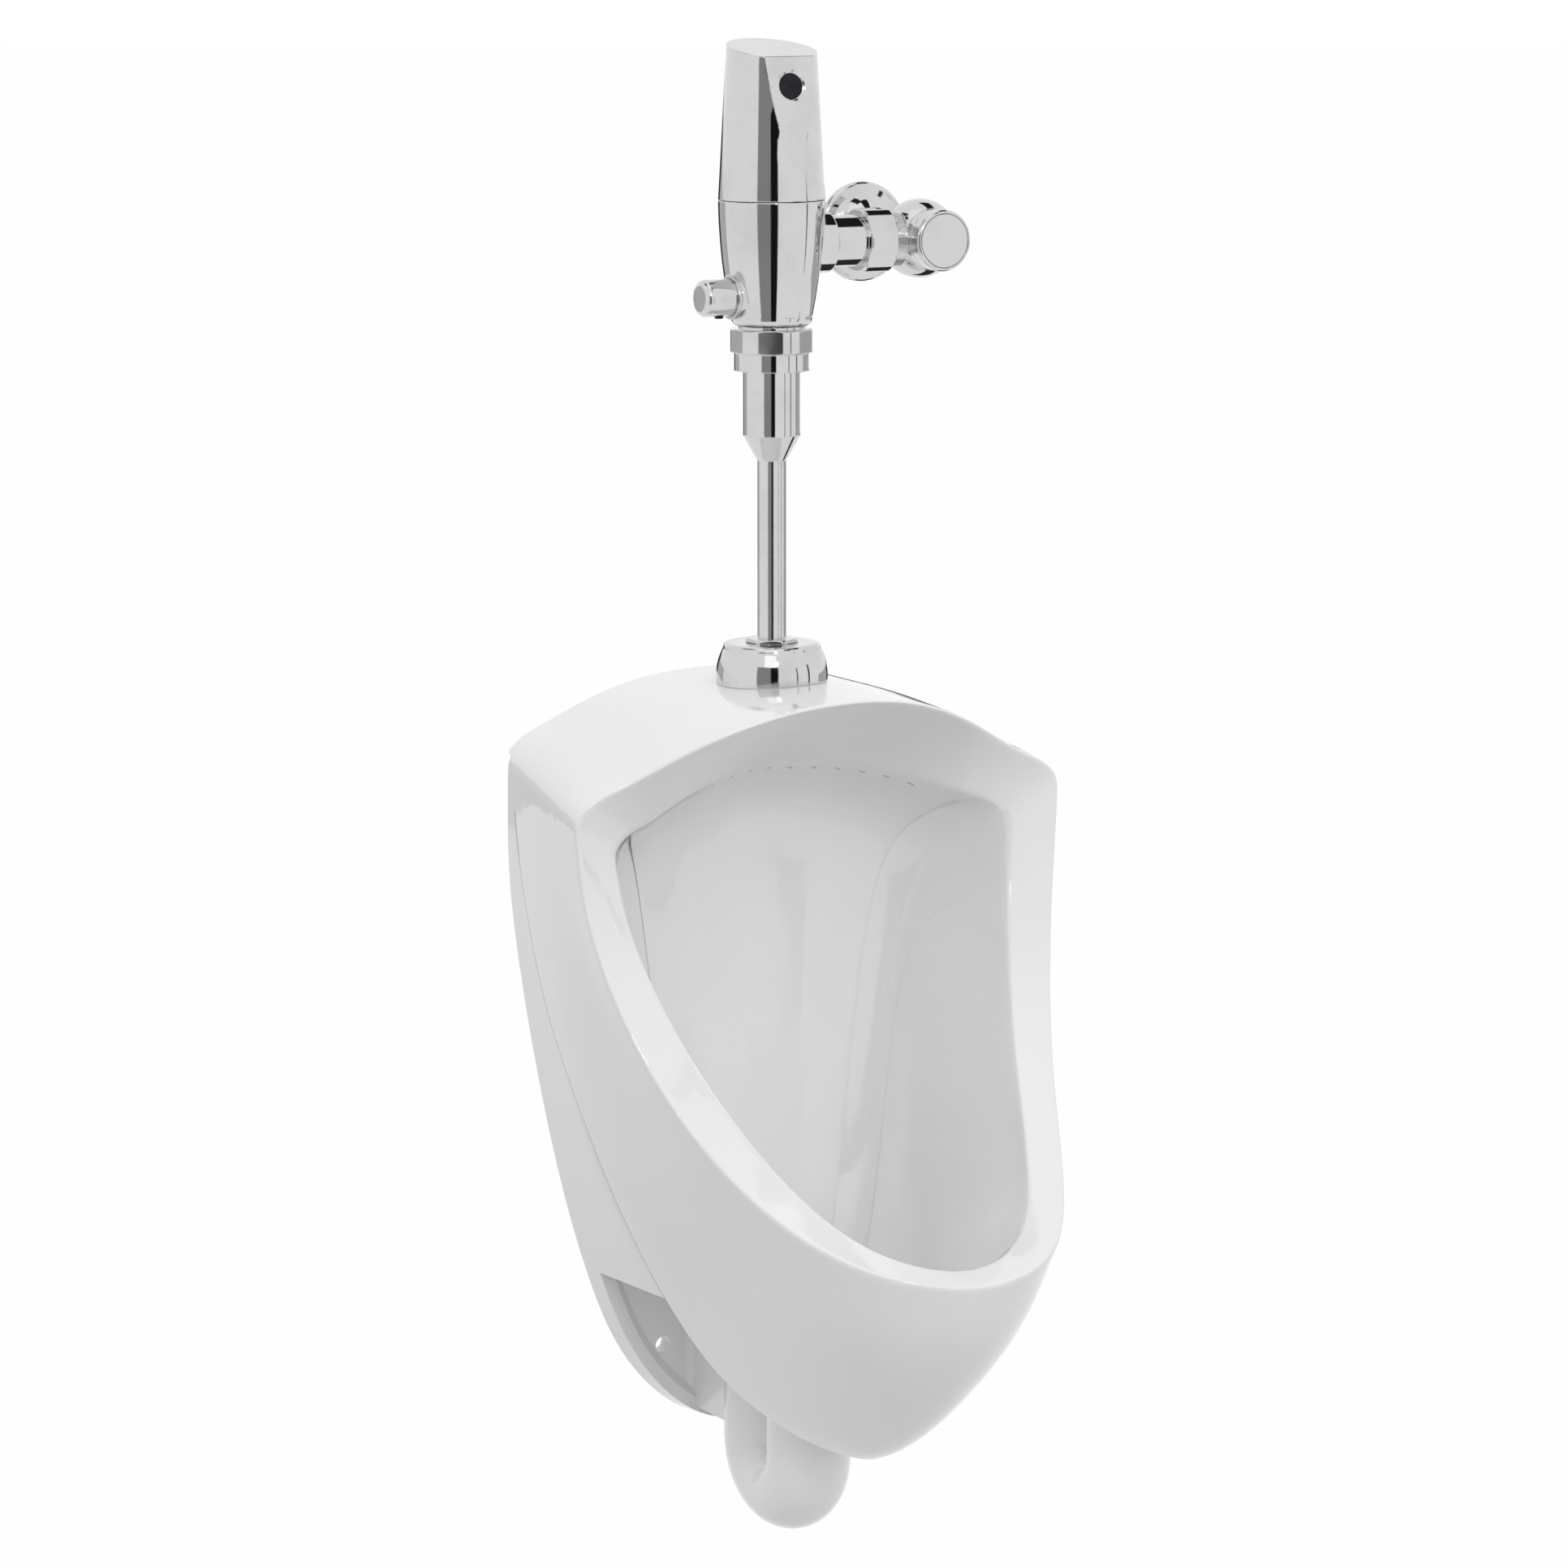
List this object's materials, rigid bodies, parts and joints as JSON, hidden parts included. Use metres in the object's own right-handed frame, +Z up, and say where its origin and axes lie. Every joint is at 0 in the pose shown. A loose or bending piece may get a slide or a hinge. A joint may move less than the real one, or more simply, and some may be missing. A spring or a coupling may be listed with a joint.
{
  "type": "urinal",
  "caption": "Wall-hung white china urinal with an integral trap, and an exposed chrome sensor flush valve on its top with an override button and a supply stop at the right.",
  "frame": {"origin": "middle of the drain outlet on the finished wall, which is the plane Y = 0", "axes": "+Z up, +Y into the wall and -Y into the room, +X to the right as seen from the room, towards the supply"},
  "size_m": [0.3664, 0.3637, 1.0098],
  "materials": {
    "glazed_china": "gloss glaze",
    "chrome_plate": "polished",
    "raw_brass": "machined",
    "black_rubber": "matt",
    "satin_steel": "satin",
    "black_plastic": "moulded",
    "battery_wrap": "shrink sleeve",
    "smoked_lens": "gloss"
  },
  "bodies": {
    "fixture": {"china_body": "glazed_china", "drain_strainer": "satin_steel", "outlet_gasket": "black_rubber", "wall_hanger_left": "satin_steel", "wall_hanger_right": "satin_steel", "spud": "raw_brass", "spud_gasket": "black_rubber", "spud_washer": "satin_steel", "spud_locknut": "raw_brass", "slip_gasket": "black_rubber", "spud_coupling_nut": "chrome_plate", "spud_flange": "chrome_plate", "flush_tube": "chrome_plate", "breaker_cage": "black_plastic", "breaker_sleeve": "black_rubber", "outlet_nut": "chrome_plate", "valve_body": "chrome_plate", "valve_seat": "raw_brass", "inner_cover": "black_plastic", "solenoid": "black_plastic", "electronics_plate": "black_plastic", "battery_pack": "battery_wrap", "sensor_module": "black_plastic", "sensor_cover": "chrome_plate", "sensor_lens": "smoked_lens", "cover_gasket": "black_rubber", "button_spring": "satin_steel", "button_collar": "chrome_plate", "supply_tailpiece": "chrome_plate", "tailpiece_seal": "black_rubber", "stop_nut": "chrome_plate", "stop_body": "chrome_plate", "stop_bonnet": "raw_brass", "supply_adapter": "raw_brass", "cover_tube": "chrome_plate", "wall_flange": "chrome_plate"},
    "button": {"override_button": "chrome_plate"},
    "flush_piston": {"piston": "black_plastic", "piston_seal": "black_rubber"},
    "pilot_plunger": {"solenoid_plunger": "satin_steel"},
    "stop_screw": {"stop_spindle": "raw_brass"},
    "stop_disc": {"stop_plug": "raw_brass", "stop_seal": "black_rubber"},
    "cap": {"stop_cap": "chrome_plate"}
  },
  "joints": [
    {"name": "button_press", "type": "slide", "parent": "fixture", "child": "button", "axis": [1, 0, 0], "range_m": [0, 0.0035], "stiffness_N_per_m": 900, "springref_m": -0.002, "deforming": ["button_spring"]},
    {"name": "piston_lift", "type": "slide", "parent": "fixture", "child": "flush_piston", "axis": [0, 0, 1], "range_m": [0, 0.006]},
    {"name": "plunger_lift", "type": "slide", "parent": "fixture", "child": "pilot_plunger", "axis": [0, 0, 1], "range_m": [0, 0.0025], "stiffness_N_per_m": 300, "springref_m": -0.002},
    {"name": "stop_turn", "type": "hinge", "parent": "fixture", "child": "stop_screw", "pos_m": [0.1135, -0.095, 0.7621], "axis": [0, 1, 0], "range_deg": [0, 1080]},
    {"name": "stop_disc_slide", "type": "slide", "parent": "fixture", "child": "stop_disc", "axis": [0, 1, 0], "range_m": [0, 0.006]},
    {"name": "cap_pull", "type": "slide", "parent": "fixture", "child": "cap", "axis": [0, -1, 0], "range_m": [0, 0.03]}
  ],
  "couplings": [
    {"joint": "stop_disc_slide", "follows": "stop_turn", "m_per_rad": 0.00031831}
  ]
}
